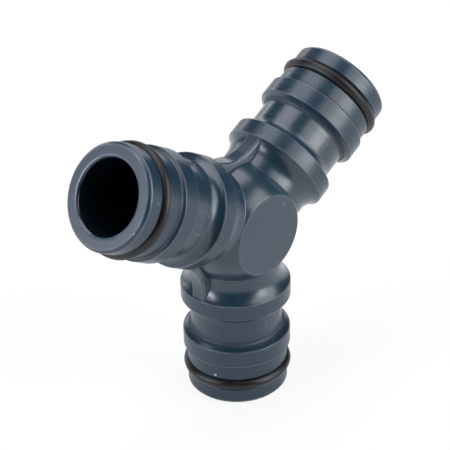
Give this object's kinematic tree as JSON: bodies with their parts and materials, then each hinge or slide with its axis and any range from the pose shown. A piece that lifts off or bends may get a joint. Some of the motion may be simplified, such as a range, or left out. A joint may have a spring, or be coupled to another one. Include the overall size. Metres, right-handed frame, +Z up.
{
  "type": "three-way hose connector",
  "caption": "Y-shaped moulded hose connector with push-on coupling spigots, rubber seal rings and bores that meet in a ball-shaped hub.",
  "frame": {"origin": "centre of the lower spigot's end face, which the part stands on", "axes": "+Z up along the lower spigot to the hub; the three spigots lie in the XZ plane, 120 degrees apart; +X to the right spigot; the side that the picture shows faces -Y"},
  "size_m": [0.0574, 0.0172, 0.0499],
  "materials": {
    "body_plastic": "satin, with fine tool lines",
    "ring_rubber": "smooth, slightly shiny"
  },
  "bodies": {
    "root": {"body": "body_plastic", "seal_ring_bottom": "ring_rubber", "seal_ring_left": "ring_rubber", "seal_ring_right": "ring_rubber"}
  },
  "joints": []
}
